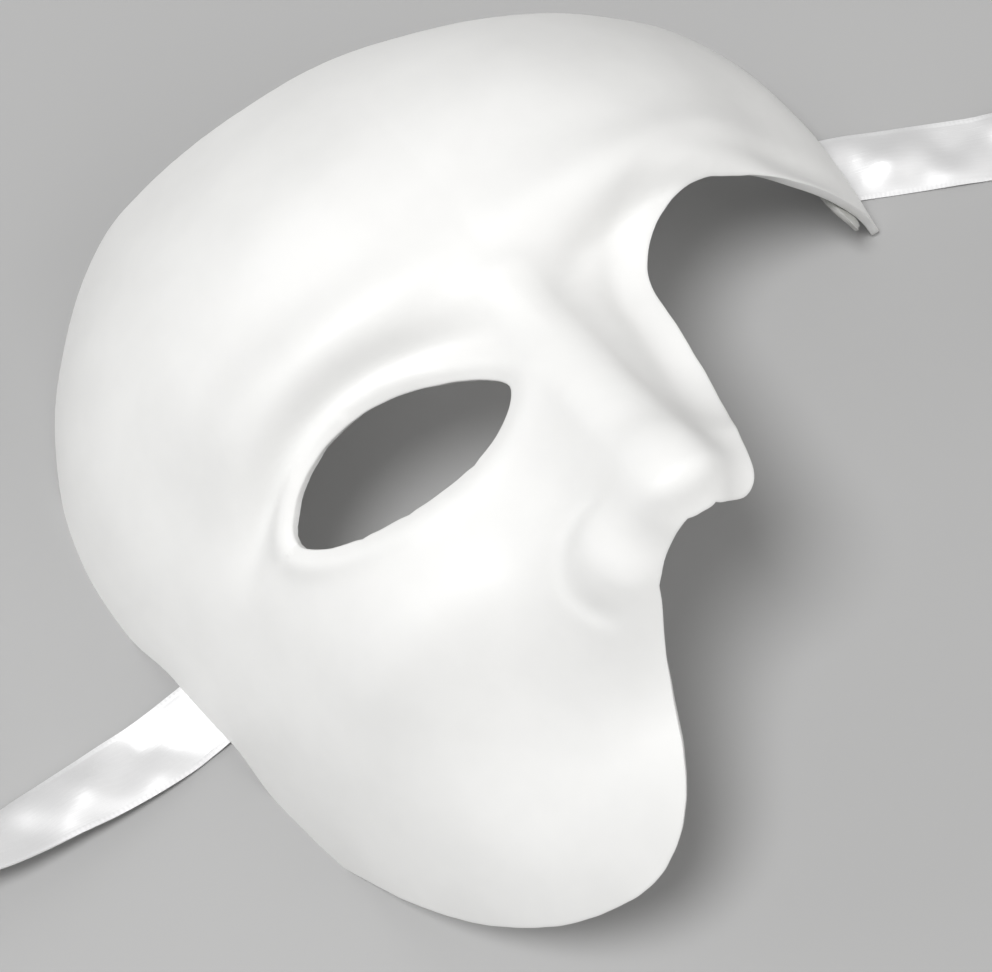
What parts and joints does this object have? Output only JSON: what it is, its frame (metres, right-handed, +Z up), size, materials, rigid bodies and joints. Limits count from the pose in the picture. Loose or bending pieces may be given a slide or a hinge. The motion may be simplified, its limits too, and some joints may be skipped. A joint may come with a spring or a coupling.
{
  "type": "half mask",
  "caption": "Moulded white half mask for one side of the face, with an eye hole, nose and brow strip, and satin ribbons to tie it on; lies face up on its rim.",
  "frame": {"origin": "On the table plane, below the middle of the moulded shell's outline", "axes": "+Z up out of the face towards the nose, +Y to the crown, +X to the wearer's left"},
  "size_m": [0.4041, 0.176, 0.0865],
  "materials": {
    "plastic": "matte white, thermoformed sheet",
    "glue": "milky hot-melt glue, half gloss",
    "satin": "white satin ribbon"
  },
  "bodies": {
    "root": {"mask_shell": "plastic", "glue_pad_right": "glue", "glue_pad_left": "glue", "ribbon_right_run": "satin", "ribbon_right_coil": "satin", "ribbon_left_run": "satin", "ribbon_left_coil": "satin"}
  },
  "joints": []
}
